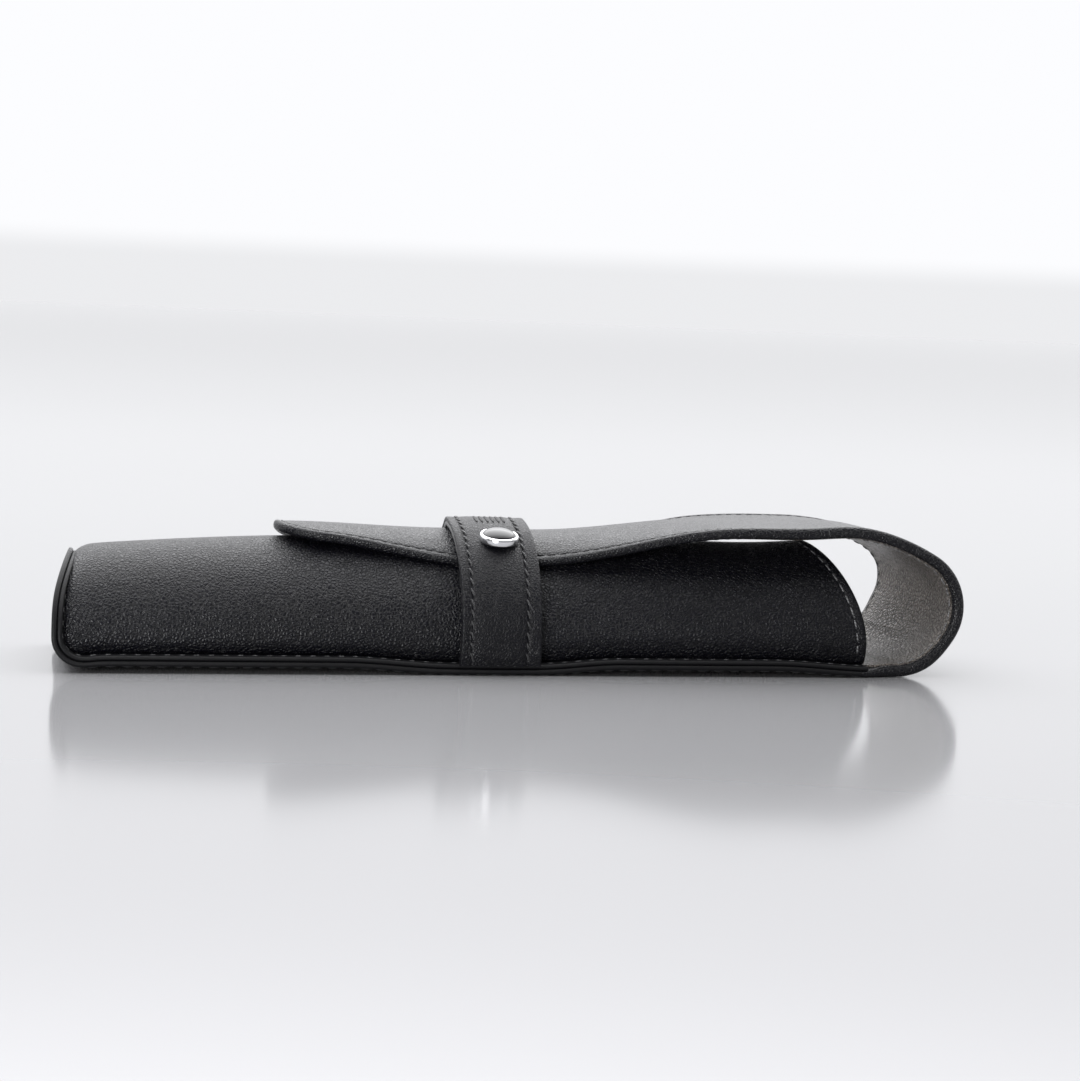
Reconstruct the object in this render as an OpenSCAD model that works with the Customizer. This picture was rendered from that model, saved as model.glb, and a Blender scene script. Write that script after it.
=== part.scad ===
// Fountain pen case: one pen, moulded leather shell, flap tucked under a keeper.
// Millimetres, +Z up. The case lies on its back, the mouth and the loop face +X.

/* [View] */

// Which piece to build, or all of them

/* [Case size] */

// Length over everything, closed end to the fold of the flap
case_len = 172; // [150:1:190]
// Width of the back over the sewn rim
rim_w = 38.4; // [34:0.2:44]
// Height of the shell crown at the closed end
crown_low = 22.0; // [18:0.1:26]
// Height of the shell crown at the mouth
crown_high = 24.3; // [20:0.1:30]
// Outside radius of the moulded shell
shell_r = 17.6; // [14:0.1:20]
// Outside radius where the back turns up into the closed end
bend_r = 5.6; // [4:0.1:9]
// Lean of the closed end toward the mouth, degrees
end_lean = 10; // [0:1:15]

/* [Leather] */

// Thickness of the outer leather
hide_t = 1.1; // [0.8:0.1:1.6]
// Thickness of the stiffening board
board_t = 0.35; // [0.2:0.05:0.8]
// Thickness of the lining
lining_t = 0.85; // [0.5:0.05:1.2]
// Gap left between layers for glue
glue_t = 0.05; // [0:0.01:0.1]

/* [Mouth] */

// Distance of the mouth edge from the closed end, at the back
mouth_at = 153.3; // [140:0.1:165]
// Radius of the curved mouth cut, seen from the side
mouth_r = 34; // [25:1:60]

/* [Keeper strap] */

// Start of the keeper, from the closed end
keeper_at = 73.4; // [60:0.1:100]
// Width of the keeper along the case
keeper_w = 15; // [10:0.5:22]
// Inside radius of the keeper over the flap
keeper_in_r = 18.3; // [17:0.1:20]
// Height of the centre of the keeper curve
keeper_z = 7.85; // [5:0.05:10]
// Thickness of each of the two keeper layers
keeper_t = 0.8; // [0.5:0.05:1.2]

/* [Stud] */

// Diameter of the stud
stud_d = 7.4; // [5:0.1:10]
// Height of the stud over the keeper
stud_h = 1.7; // [1:0.1:3]
// Offset of the stud from the middle of the keeper, along the case
stud_dx = 1.2; // [-3:0.1:3]
// Tilt of the stud toward the near side, degrees
stud_tilt = 31; // [0:1:40]

/* [Flap] */

// Distance of the tongue tip from the closed end
tip_at = 41.2; // [30:0.1:60]
// Thickness of the whole flap
flap_t = 2.0; // [1.6:0.1:3]
// Half width of the tongue just behind the rounded tip
tip_half = 9.3; // [7:0.1:14]
// Length of the rounded tip
tip_len = 9; // [5:0.5:16]
// Half width of the flap under the keeper
waist_half = 12.6; // [9:0.1:16]
// Half width of the flap and of the loop
wide_half = 18.2; // [14:0.1:19]
// Height of the flap where it is flat, over the mouth
flap_top = 28.3; // [26:0.1:32]
// Height of the flap crown under the keeper
waist_top = 25.55; // [24:0.05:27]
// Height of the lifted tip
tip_top = 26.1; // [24:0.1:28]
// Curl of the flap under the keeper, drop divided by half width squared
waist_curl = 0.0317; // [0:0.0001:0.05]
// Curl of the flap at the tip
tip_curl = 0.0155; // [0:0.0001:0.05]

/* [Loop] */

// Outside radius of the lower part of the loop
low_r = 13; // [9:0.1:16]
// Outside radius of the upper part of the loop
high_r = 11.5; // [9:0.1:16]
// Thickness of the loop, hide and lining together
loop_t = 2.4; // [1.8:0.1:3]
// Gap between neighbouring soft sections, so each can turn
soft_gap = 0.3; // [0.2:0.05:0.6]

/* [Thread] */

// Diameter of the thread
thread_d = 0.5; // [0.3:0.05:0.8]
// Stitch pitch of the fine rows on flap, keeper and mouth
fine_pitch = 2.2; // [1.6:0.1:4]
// Stitch pitch of the row round the rim
rim_pitch = 3; // [2:0.1:5]
// Share of the pitch that is covered by thread
stitch_fill = 0.74; // [0.5:0.01:0.9]

/* [Hidden] */

$fn = 96;
x0 = -(case_len + thread_d + 0.02) / 2;
rim_half = rim_w / 2;
far = 300;
tiny = 0.02;
bend_x = x0 + bend_r;
mouth_x = x0 + mouth_at;
mouth_z = 3;
crown_x0 = x0 + 5;
crown_x1 = x0 + 146;
crown_slope = (crown_high - crown_low) / (crown_x1 - crown_x0);
shell_tilt = atan(crown_slope);
shell_base = hide_t;
rim_top = hide_t * 2;
inner_half = 15.25;
board_lo = hide_t + glue_t;
board_hi = board_lo + board_t;
lining_lo = board_hi + glue_t;
lining_hi = lining_lo + lining_t;
shell_in_r = shell_r - hide_t;
s_board_r = shell_in_r - glue_t;
s_board_in = s_board_r - board_t;
s_lining_r = s_board_in - glue_t;
s_lining_in = s_lining_r - lining_t;
end_rim_z = 3.9;
arc_step = 6;
end_tall = 22;
flange_in = 15.45;
flange_hole_r = 15.9;
keeper_x0 = x0 + keeper_at;
keeper_x1 = keeper_x0 + keeper_w;
keeper_mid_r = keeper_in_r + keeper_t;
keeper_top_in = keeper_mid_r + glue_t;
keeper_r = keeper_top_in + keeper_t;
stud_x = (keeper_x0 + keeper_x1) / 2 + stud_dx;
stud_seat = 0.38;
stud_lip = 0.55;
stud_seat_h = 0.7;
post_r = 0.9;
washer_r = 2.3;
washer_t = 0.25;
washer_z = -1.3;
tip_x = x0 + tip_at;
tip_end = tip_x + tip_len;
flat_x = x0 + 125;
flap_end = x0 + 140;
low_cx = x0 + case_len - low_r;
low_cz = low_r;
high_cx = x0 + case_len - high_r;
high_cz = low_r;
top_cx = x0 + 146;
rise = flap_top - high_cz;
run = high_cx - top_cx;
top_r = (run * run + rise * rise - high_r * high_r) / (2 * (rise - high_r));
top_cz = flap_top - top_r;
top_a = atan2(high_cz - top_cz, run);
hinge_a = 45;
body_end = x0 + 154;
thread_r = thread_d / 2;
lift = thread_r + tiny;
edge_in = 1.5;
turn_w = 1.3;
leaf_steps = 12;
leaf_gap = 0.1;
flap_board_t = 0.25;
tip_steps = 6;
run_steps = 16;

hide_color = [0.07, 0.07, 0.08];
lining_color = [0.36, 0.31, 0.29];
board_color = [0.55, 0.47, 0.36];
thread_color = [0.12, 0.12, 0.13];
metal_color = [0.75, 0.75, 0.77];
dome_color = [0.03, 0.03, 0.04];

function ease(t) = t <= 0 ? 0 : t >= 1 ? 1 : t * t * (3 - 2 * t);
function mix(a, b, t) = a + (b - a) * t;
function clamp01(t) = max(0, min(1, t));
function crown(x) = crown_low + (x - crown_x0) * crown_slope;

// ---- shapes shared by several pieces ----

// Points along an arc in the XZ plane
function arc_points(cx, cz, r, a0, a1) =
    let (n = max(2, ceil(abs(a1 - a0) / arc_step)))
    [for (i = [0 : n])
        let (a = a0 + (a1 - a0) * i / n)
        [cx + r * cos(a), cz + r * sin(a)]];
function backward(points) = [for (i = [len(points) - 1 : -1 : 0]) points[i]];

// A side view extruded across the case
module side_profile(points, half) {
    rotate([90, 0, 0])
    linear_extrude(height = 2 * half, center = true)
    polygon(points);
}

// The line of the back at depth t: floor, turn and leaning closed end
function back_line(t, to_x) = concat(
    [[to_x, t]],
    arc_points(bend_x, bend_r, bend_r - t, 270, 180 - end_lean),
    [[bend_x - (bend_r - t) * cos(end_lean) + end_tall * sin(end_lean),
      bend_r + (bend_r - t) * sin(end_lean) + end_tall * cos(end_lean)]]
);

// Everything inside the back and the closed end, at a depth t under the outer face
module inner_region(t) {
    side_profile(concat(back_line(t, far), [[far, 60]]), 30);
}

// One layer of the back, the turn and the closed end, to a round-topped outline
module back_layer(lo, hi, r, cz, half, to_x) {
    intersection() {
        side_profile(concat(back_line(lo, to_x), backward(back_line(hi, to_x))), 30);
        d_bar(r, cz, half, x0 - 5, to_x + 5);
    }
}

// A bar along X, round on top and straight-sided below
module d_bar(r, cz, half, from_x, to_x) {
    translate([from_x, 0, 0])
    rotate([90, 0, 90])
    linear_extrude(height = to_x - from_x)
    union() {
        intersection() {
            translate([0, cz]) circle(r = r);
            translate([-half, cz]) square([2 * half, 60]);
        }
        translate([-half, -10]) square([2 * half, cz + 10 + tiny]);
    }
}

// A round bar on the slightly rising axis of the shell
module shell_bar(r) {
    translate([crown_x0, 0, crown_low - shell_r])
    rotate([0, 90 - shell_tilt, 0])
    translate([0, 0, -20]) cylinder(r = r, h = 220);
}

// All space behind the curved mouth edge, with the edge set back by d
module behind_mouth(d) {
    union() {
        translate([x0 - 20, -30, -5])
        cube([mouth_x - mouth_r - x0 + 20, 60, 60]);
        translate([mouth_x - mouth_r, 0, mouth_z])
        rotate([90, 0, 0]) cylinder(r = mouth_r - d, h = 60, center = true);
    }
}

// A tube layer of the shell, cut to the floor, the end and the mouth
module shell_layer(r_out, r_in, floor_t, set_back) {
    intersection() {
        difference() {
            shell_bar(r_out);
            shell_bar(r_in);
        }
        inner_region(floor_t);
        behind_mouth(set_back);
    }
}

// A straight stitch between two points
module stitch(p, q) {
    d = q - p;
    len = norm(d);
    translate(p)
    rotate([0, acos(d[2] / len), atan2(d[1], d[0])])
    cylinder(r = thread_r, h = len, $fn = 16);
}

// ---- back and closed end ----

module back_leather() {
    color(hide_color)
    back_layer(0, hide_t, rim_half, end_rim_z, rim_half, body_end);
}

module back_board() {
    color(board_color)
    translate([bend_x + 3, -inner_half, board_lo])
    cube([body_end - bend_x - 6, 2 * inner_half, board_t]);
}

module end_board() {
    color(board_color)
    intersection() {
        back_layer(board_lo, board_hi, s_lining_in, crown_low - shell_r, inner_half, bend_x + 5);
        translate([x0 - 5, -30, bend_r + 2]) cube([20, 60, 60]);
    }
}

module back_lining() {
    color(lining_color)
    back_layer(lining_lo, lining_hi, s_lining_in, crown_low - shell_r, inner_half, body_end);
}

// ---- moulded shell ----

module shell_flange() {
    difference() {
        back_layer(hide_t, rim_top, rim_half, end_rim_z, rim_half, mouth_x - 0.5);
        d_bar(flange_hole_r, end_rim_z, flange_in, x0 - 10, mouth_x + 5);
    }
}

module shell_leather() {
    color(hide_color)
    union() {
        shell_layer(shell_r, shell_in_r, hide_t + 0.5, 0);
        shell_flange();
    }
}

module shell_board() {
    color(board_color)
    shell_layer(s_board_r, s_board_in, lining_hi + glue_t, 3);
}

module shell_lining() {
    color(lining_color)
    shell_layer(s_lining_r, s_lining_in, lining_hi + glue_t, 0.4);
}

module rim_side_row() {
    first = bend_x + 2;
    count = floor((mouth_x - 2 - first) / rim_pitch);
    for (i = [0 : count - 1]) {
        x = first + i * rim_pitch;
        x_b = x + rim_pitch * stitch_fill;
        clear = x_b < keeper_x0 - 0.3 || x > keeper_x1 + 0.3;
        if (clear) stitch([x, rim_half - edge_in + 0.6, rim_top + lift],
                          [x_b, rim_half - edge_in + 0.6, rim_top + lift]);
    }
}

module rim_end_row() {
    row_r = 18.35;
    step = rim_pitch / row_r * 180 / PI;
    count = floor(140 / step);
    translate([bend_x, 0, bend_r])
    rotate([0, end_lean, 0])
    translate([rim_top + lift - bend_r, 0, end_rim_z - bend_r])
    for (i = [0 : count - 1]) {
        a = 20 + i * step;
        b = a + step * stitch_fill;
        stitch([0, row_r * cos(a), row_r * sin(a)], [0, row_r * cos(b), row_r * sin(b)]);
    }
}

module rim_stitching() {
    color(thread_color) {
        rim_side_row();
        mirror([0, 1, 0]) rim_side_row();
        rim_end_row();
    }
}

// A point of the mouth row at angle a round the shell, 0 on top
function mouth_row_z(a, x) = crown(x) - shell_r + (shell_r + lift + 0.1) * cos(a);
function mouth_row_x(z) = mouth_x - mouth_r
    + sqrt(pow(mouth_r - 2, 2) - pow(z - mouth_z, 2));
function mouth_row(a) =
    let (z = mouth_row_z(a, mouth_x - 4))
    [mouth_row_x(z), (shell_r + lift + 0.1) * sin(a), z];

module mouth_stitching() {
    step = fine_pitch / shell_r * 180 / PI;
    count = floor(88 / step);
    color(thread_color)
    for (i = [-count : count - 1]) {
        a = i * step;
        stitch(mouth_row(a), mouth_row(a + step * stitch_fill));
    }
}

// ---- keeper strap ----

module keeper_layer(r_out, r_in) {
    intersection() {
        difference() {
            d_bar(r_out, keeper_z, r_out, keeper_x0, keeper_x1);
            d_bar(r_in, keeper_z, r_in, keeper_x0 - 1, keeper_x1 + 1);
        }
        translate([keeper_x0 - 1, -30, rim_top + tiny]) cube([keeper_w + 2, 60, 60]);
    }
}

module stud_place() {
    translate([stud_x, 0, keeper_z])
    rotate([stud_tilt, 0, 0])
    translate([0, 0, keeper_r])
    children();
}

module keeper_leather() {
    color(hide_color)
    difference() {
        keeper_layer(keeper_r, keeper_top_in);
        stud_place() translate([0, 0, -stud_seat]) cylinder(d = stud_d + 0.1, h = 5);
        stud_place() translate([0, 0, -3]) cylinder(r = post_r + tiny, h = 5);
    }
}

module keeper_backing() {
    color(hide_color)
    difference() {
        keeper_layer(keeper_mid_r, keeper_in_r);
        stud_place() translate([0, 0, washer_z - tiny]) cylinder(r = washer_r + 0.1, h = 3);
    }
}

module keeper_row(x, lean) {
    step = fine_pitch / keeper_r * 180 / PI;
    count = floor(180 / step);
    rr = keeper_r + lift;
    for (i = [0 : count - 1]) {
        a = (180 - count * step) / 2 + i * step;
        b = a + step * stitch_fill;
        stitch([x - lean, rr * cos(a), keeper_z + rr * sin(a)],
               [x + lean, rr * cos(b), keeper_z + rr * sin(b)]);
    }
    for (side = [-1, 1]) {
        for (k = [0 : 1]) {
            z = keeper_z - 0.4 - k * fine_pitch;
            stitch([x - lean, side * rr, z], [x + lean, side * rr, z - fine_pitch * stitch_fill]);
        }
    }
}

module keeper_stitching() {
    color(thread_color) {
        keeper_row(keeper_x0 + 2.6, 0.25);
        keeper_row(keeper_x1 - 1.9, -0.25);
    }
}

// ---- stud ----

module stud_bezel() {
    color(metal_color)
    stud_place()
    difference() {
        translate([0, 0, -stud_seat + tiny]) cylinder(d = stud_d, h = stud_h + stud_seat);
        translate([0, 0, stud_seat_h]) cylinder(d = stud_d - 2 * stud_lip, h = 5);
        translate([0, 0, -3]) cylinder(r = post_r + tiny, h = 3.3);
    }
}

module stud_dome() {
    dome_d = stud_d - 2 * stud_lip - 0.04;
    dome_rise = 0.55;
    ball_r = (dome_d * dome_d / 4 + dome_rise * dome_rise) / (2 * dome_rise);
    color(dome_color)
    stud_place()
    intersection() {
        translate([0, 0, stud_seat_h + tiny]) cylinder(d = dome_d, h = 4);
        translate([0, 0, stud_h - 0.1 + dome_rise - ball_r]) sphere(r = ball_r);
    }
}

module stud_post() {
    color(metal_color)
    stud_place()
    translate([0, 0, washer_z + washer_t + tiny]) cylinder(r = post_r, h = 1.3);
}

module stud_washer() {
    color(metal_color)
    stud_place()
    translate([0, 0, washer_z]) cylinder(r = washer_r, h = washer_t);
}

// ---- loop of the flap beyond the mouth ----

gap_low = soft_gap / low_r * 90 / PI;
gap_high = soft_gap / high_r * 90 / PI;

function low_line(t) = concat(
    [[body_end + soft_gap, t]],
    arc_points(low_cx, low_cz, low_r - t, -90, -hinge_a - gap_low)
);
function mid_line(t) = concat(
    arc_points(low_cx, low_cz, low_r - t, -hinge_a + gap_low, -arc_step / 2),
    arc_points(high_cx, high_cz, high_r - t, 0, hinge_a - gap_high)
);
function top_line(t) = concat(
    arc_points(high_cx, high_cz, high_r - t, hinge_a + gap_high, top_a),
    arc_points(top_cx, top_cz, top_r - t, top_a + 1, 90),
    [[flap_end + soft_gap, flap_top - t]]
);

module strip(outer, inner) {
    side_profile(concat(outer, backward(inner)), wide_half);
}

module loop_low_leather() {
    color(hide_color) strip(low_line(0), low_line(hide_t));
}

module loop_low_lining() {
    color(lining_color) strip(low_line(hide_t + glue_t), low_line(loop_t));
}

module loop_mid_leather() {
    color(hide_color) strip(mid_line(0), mid_line(hide_t));
}

module loop_mid_lining() {
    color(lining_color) strip(mid_line(hide_t + glue_t), mid_line(loop_t));
}

module loop_top_leather() {
    color(hide_color) strip(top_line(0), top_line(hide_t));
}

module loop_top_lining() {
    color(lining_color) strip(top_line(hide_t + glue_t), top_line(loop_t));
}

module arc_row(cx, cz, r, a0, a1) {
    step = fine_pitch / r * 180 / PI;
    count = floor((a1 - a0) / step);
    rr = r + lift;
    for (i = [0 : count - 1]) {
        a = a0 + (a1 - a0 - count * step) / 2 + i * step;
        b = a + step * stitch_fill;
        for (side = [-1, 1])
            stitch([cx + rr * cos(a), side * (wide_half - edge_in), cz + rr * sin(a)],
                   [cx + rr * cos(b), side * (wide_half - edge_in), cz + rr * sin(b)]);
    }
}

module loop_low_stitching() {
    color(thread_color) arc_row(low_cx, low_cz, low_r, -80, -48);
}

module loop_mid_stitching() {
    color(thread_color) {
        arc_row(low_cx, low_cz, low_r, -42, 0);
        arc_row(high_cx, high_cz, high_r, 0, 42);
    }
}

module loop_top_stitching() {
    color(thread_color) {
        arc_row(high_cx, high_cz, high_r, 48, top_a);
        arc_row(top_cx, top_cz, top_r, top_a, 90);
    }
}

// ---- flap ----

function tongue_half(x) =
    x < keeper_x0
    ? mix(tip_half, waist_half, clamp01((x - tip_end) / (keeper_x0 - tip_end)))
    : mix(waist_half, wide_half, clamp01((x - keeper_x1) / (x0 + 127 - keeper_x1)));
function flap_crown(x) =
    x < keeper_x0
    ? mix(tip_top, waist_top, ease((x - tip_x - 4) / (keeper_x0 - tip_x - 6)))
    : mix(waist_top, flap_top, ease((x - keeper_x1 - 1) / 38));
function flap_curl(x) =
    x < keeper_x0
    ? mix(tip_curl, waist_curl, ease((x - tip_x) / (keeper_x0 - tip_x)))
    : waist_curl * pow(1 - clamp01((x - keeper_x1) / (x0 + 134.5 - keeper_x1)), 2);
function flap_z(x, y) = flap_crown(x) - flap_curl(x) * y * y;

// Stations along the flap as [x, half width]
function stations(inset, x_in) = concat(
    [for (i = [1 : tip_steps])
        let (a = 10 + (i - 1) * 80 / (tip_steps - 1))
        [tip_end - (tip_len - x_in) * cos(a), (tip_half - inset) * sin(a)]],
    [for (i = [1 : run_steps])
        let (x = mix(tip_end, flap_end, i / run_steps))
        [x, tongue_half(x) - inset]]
);

// Triangles that close one end; extra is the number of corners in each turned edge
function quad(a, b, c, d) = [[a, b, c], [a, c, d]];
function cap(base, n, extra) =
    let (m = leaf_steps, low = 2 * m + 1 + extra)
    concat(
        [for (i = [0 : m - 1])
            each quad(base + i, base + i + 1, base + low - i - 1, base + low - i)],
        extra < 2 ? [] : quad(base + m, base + m + 1, base + m + 2, base + m + 3),
        extra < 2 ? [] : quad(base, base + low, base + n - 2, base + n - 1)
    );
function turned(faces) = [for (f = faces) [f[2], f[1], f[0]]];

// A solid drawn through closed sections, all with the same number of corners
module skin(rings, extra) {
    n = len(rings[0]);
    m = len(rings);
    points = [for (r = rings) for (p = r) p];
    sides = [for (j = [0 : m - 2]) for (i = [0 : n - 1])
        let (k = (i + 1) % n)
        each [[j * n + i, j * n + k, (j + 1) * n + i],
              [j * n + k, (j + 1) * n + k, (j + 1) * n + i]]];
    polyhedron(points = points,
               faces = concat(turned(cap(0, n, extra)), sides, cap((m - 1) * n, n, extra)));
}

// Section of a plain layer between two depths
function leaf_ring(s, lo, hi) = concat(
    [for (i = [0 : leaf_steps])
        let (y = s[1] * (1 - 2 * i / leaf_steps))
        [s[0], y, flap_z(s[0], y) - lo]],
    [for (i = [0 : leaf_steps])
        let (y = s[1] * (2 * i / leaf_steps - 1))
        [s[0], y, flap_z(s[0], y) - hi]]
);

// Section of the hide, with both edges turned down round the layers below
function hide_ring(s) =
    let (w = s[1], v = max(w - turn_w, 0.2), x = s[0])
    concat(
        [for (i = [0 : leaf_steps])
            let (y = w * (1 - 2 * i / leaf_steps))
            [x, y, flap_z(x, y) - 0]],
        [[x, -w, flap_z(x, w) - flap_t], [x, -v, flap_z(x, v) - flap_t]],
        [for (i = [0 : leaf_steps])
            let (y = v * (2 * i / leaf_steps - 1))
            [x, y, flap_z(x, y) - hide_t]],
        [[x, v, flap_z(x, v) - flap_t], [x, w, flap_z(x, w) - flap_t]]
    );

module flap_leather() {
    color(hide_color)
    skin([for (s = stations(0, 0)) hide_ring(s)], 2);
}

module flap_board() {
    color(board_color)
    skin([for (s = stations(turn_w + 0.3, turn_w))
        leaf_ring(s, hide_t + leaf_gap, hide_t + leaf_gap + flap_board_t)], 0);
}

module flap_lining() {
    color(lining_color)
    skin([for (s = stations(turn_w + 0.15, turn_w))
        leaf_ring(s, hide_t + 2 * leaf_gap + flap_board_t, flap_t)], 0);
}

// Space under the thread; less of it where the flap runs under the keeper
function row_gap(x) = x > keeper_x0 - 2 && x < keeper_x1 + 2 ? 0.07 : 0.18;
function side_point(x, side) =
    let (y = side * (tongue_half(x) - edge_in))
    [x, y, flap_z(x, y) + lift + row_gap(x)];
function tip_point(a) =
    let (x = tip_end - (tip_len - edge_in) * cos(a),
         y = (tip_half - edge_in) * sin(a))
    [x, y, flap_z(x, y) + lift + row_gap(x)];

module flap_stitching() {
    count = floor((flap_end - 1 - tip_end) / fine_pitch);
    step = fine_pitch / (tip_half - edge_in) * 180 / PI;
    around = floor(180 / step);
    color(thread_color) {
        for (side = [-1, 1]) {
            for (i = [0 : count - 1]) {
                x = tip_end + i * fine_pitch;
                stitch(side_point(x, side), side_point(x + fine_pitch * stitch_fill, side));
            }
        }
        for (i = [0 : around - 1]) {
            a = -90 + (180 - around * step) / 2 + i * step;
            stitch(tip_point(a), tip_point(a + step * stitch_fill));
        }
    }
}

// ---- build ----

back_leather();
back_board();
end_board();
back_lining();
shell_leather();
shell_board();
shell_lining();
rim_stitching();
mouth_stitching();
keeper_leather();
keeper_backing();
keeper_stitching();
stud_bezel();
stud_dome();
stud_post();
stud_washer();
loop_low_leather();
loop_low_lining();
loop_low_stitching();
loop_mid_leather();
loop_mid_lining();
loop_mid_stitching();
loop_top_leather();
loop_top_lining();
loop_top_stitching();
flap_leather();
flap_board();
flap_lining();
flap_stitching();
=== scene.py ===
import math
import bmesh
import bpy
import numpy as np
from mathutils import Matrix, Vector


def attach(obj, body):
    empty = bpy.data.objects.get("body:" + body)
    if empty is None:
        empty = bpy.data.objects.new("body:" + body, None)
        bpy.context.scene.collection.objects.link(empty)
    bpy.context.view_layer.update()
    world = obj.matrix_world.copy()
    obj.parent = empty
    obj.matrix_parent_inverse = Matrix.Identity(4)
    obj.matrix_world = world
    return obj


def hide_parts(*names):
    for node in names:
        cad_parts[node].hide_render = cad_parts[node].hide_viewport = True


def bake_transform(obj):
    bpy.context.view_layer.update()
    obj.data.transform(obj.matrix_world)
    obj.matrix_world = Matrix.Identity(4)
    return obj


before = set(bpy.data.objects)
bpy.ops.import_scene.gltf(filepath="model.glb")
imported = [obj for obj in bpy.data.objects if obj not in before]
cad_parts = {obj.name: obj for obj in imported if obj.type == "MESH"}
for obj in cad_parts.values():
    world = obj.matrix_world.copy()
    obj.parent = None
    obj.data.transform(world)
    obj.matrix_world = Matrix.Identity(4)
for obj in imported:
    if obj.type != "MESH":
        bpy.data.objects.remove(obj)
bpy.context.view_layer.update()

# ---------------------------------------------------------------- sizes, millimetres
# x is measured from the closed end, y across, z up from the floor.
X0 = -86.26                      # place of the closed end in the frame
RIM = 19.2                       # half width over the sewn rim
RIM_Z = 3.9                      # height of the centre of the round closed end
RIM_END = 152.0                  # where the rows in the rim stop, near the fold
TURN = 6.4                       # radius where the back turns up
ARCH = 16.5 / RIM                # the closed end is a little lower than it is wide
BACK_T = 0.95                    # leather of the back
RIM_GAP = 0.05                   # between the back and the sewn rim of the shell
FLANGE_T = 0.88                  # leather of that sewn rim
F0 = BACK_T + RIM_GAP            # its underside
F1 = F0 + FLANGE_T               # its top

SHELL_R = 17.6                   # outer radius of the moulded shell
SHELL_T = 1.75                   # its leather and board
Z_LOW = F1 - 0.12                # where the wall of the shell starts, in its sewn rim
MID_Z = 12.0                     # height at which a ring of the shell is measured
MOUTH_C, MOUTH_R, MOUTH_Z = 119.3, 33.68, 3.0    # the slanted mouth's arc: centre x, radius, centre z
MOUTH_ROW, MOUTH_SINK = 2.0, 0.1287              # its stitch row: distance from the mouth, and depth

KEEP0, KEEP1 = 73.4, 88.4        # left and right edge of the keeper strap
KEEP_LOW = 1.55                  # where the keeper meets the rim
KEEP_Z, KEEP_R = 7.45, 19.95     # centre height and outer radius of its arch
KEEP_X = (KEEP0 + KEEP1) / 2
KEEP_HALF = (KEEP1 - KEEP0) / 2
ROW_L, ROW_R = 2.0, 2.55         # its stitch rows, from the left and the right edge
KEEP_SINK = 0.13                 # how deep they lie

LOW = (159.0, 13.0, 13.0)        # lower fold: centre x, centre z, outer radius
HIGH = (160.5, 13.0, 11.5)       # upper fold
TOP = (146.0, -12.76, 41.06)     # the wide arc from the upper fold to the flap
TOP_A = 60.6                     # angle at which the upper fold runs into it
SEAM_LOW, SEAM_HIGH = -88.0, 83.0                # angles of the joins with the back and with the flap
WIDE, STRIP_T = 18.2, 2.0        # half width and thickness of the strip in the fold
TO_STRIP = (151.5, 6.5)          # where the thin back grows into the strip: start and length

TIP, TIP_LEN, TIP_HALF = 41.2, 9.0, 9.3          # round tip of the flap: its end, length and half width
TIP_END = TIP + TIP_LEN
WAIST = 12.6                     # half width of the flap under the keeper
WIDE_X = 127.0                   # where the flap has its full width
FLAP_T = 1.72                    # thickness of the flap
TIP_TOP, WAIST_TOP, FLAT_TOP = 26.0, 25.3, 28.3  # height of the flap's middle line
SAG_TIP, SAG = 0.0155, 0.0317    # how the flap curves down to its sides, per square millimetre

ROW, ROW_IN = 1.6, 2.0           # stitch rows of the strip from its edge, outside and inside
LINING_IN = 1.35                 # the lining stops this far from the edge


def clamp(v, a=0.0, b=1.0):
    return max(a, min(b, v))


def ease(t):
    t = clamp(t)
    return t * t * (3 - 2 * t)


def rise(v, start, length):
    """0 up to start, 1 from start + length, smooth in between."""
    return ease((v - start) / length)


def mix(a, b, t):
    return a + (b - a) * t


def gauss(v, s):
    return math.exp(-(v / s) ** 2)


def quarter(t):
    """The rounding of an edge: 1 at t = 0, 0 from t = 1, along a quarter circle."""
    return 1 - math.sqrt(max(1 - (1 - clamp(t)) ** 2, 0))


# ---------------------------------------------------------------- lines that the shape follows
CROWN = ((-10, 5, 12, 24, 34, 46, 60, 72, 90, 110, 130, 146, 170),
         (20.0, 21.1, 21.7, 22.5, 23.05, 23.38, 23.32, 23.12, 23.12, 23.5, 23.95, 24.3, 24.6))
CROWN_X = np.linspace(-10, 170, 361)
SOFTEN = 16                      # half millimetres over which the crown is smoothed, to each side
CROWN_Z = np.pad(np.interp(CROWN_X, *CROWN), SOFTEN, mode="edge")
CROWN_Z = np.convolve(CROWN_Z, np.ones(2 * SOFTEN + 1) / (2 * SOFTEN + 1), mode="valid")


def axis_z(x):
    """Height of the axis of the moulded shell: low at the closed end, pressed in a little by the keeper."""
    return float(np.interp(x, CROWN_X, CROWN_Z)) - SHELL_R


def end_x(z):
    """Outer face of the closed end at a height z: a round turn, then leaning in more and more."""
    if z < TURN:
        return TURN - math.sqrt(max(TURN ** 2 - (TURN - z) ** 2, 0))
    lean = 1.75 * ((z - TURN) / 12.3) ** 2.2
    return lean + 1.2 * max(0, (z - 19) / 4) ** 2


def end_normal(z):
    """(x, z) of the direction out of the closed end."""
    h = 0.05
    z0, z1 = max(z - h, 0.02), z + h
    dx, dz = end_x(z1) - end_x(z0), z1 - z0
    n = math.hypot(dx, dz)
    return -dz / n, dx / n


def mouth_x(z):
    return MOUTH_C + math.sqrt(max(MOUTH_R ** 2 - (z - MOUTH_Z) ** 2, 1))


def back_thickness(x):
    """The back is one layer under the shell and as thick as the strip from the fold on."""
    return mix(BACK_T, STRIP_T, rise(x, *TO_STRIP))


def flap_half(x):
    if x < KEEP0:
        return mix(TIP_HALF, WAIST, clamp((x - TIP_END) / (KEEP0 - TIP_END)))
    return mix(WAIST, WIDE, clamp((x - KEEP1) / (WIDE_X - KEEP1)))


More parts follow.
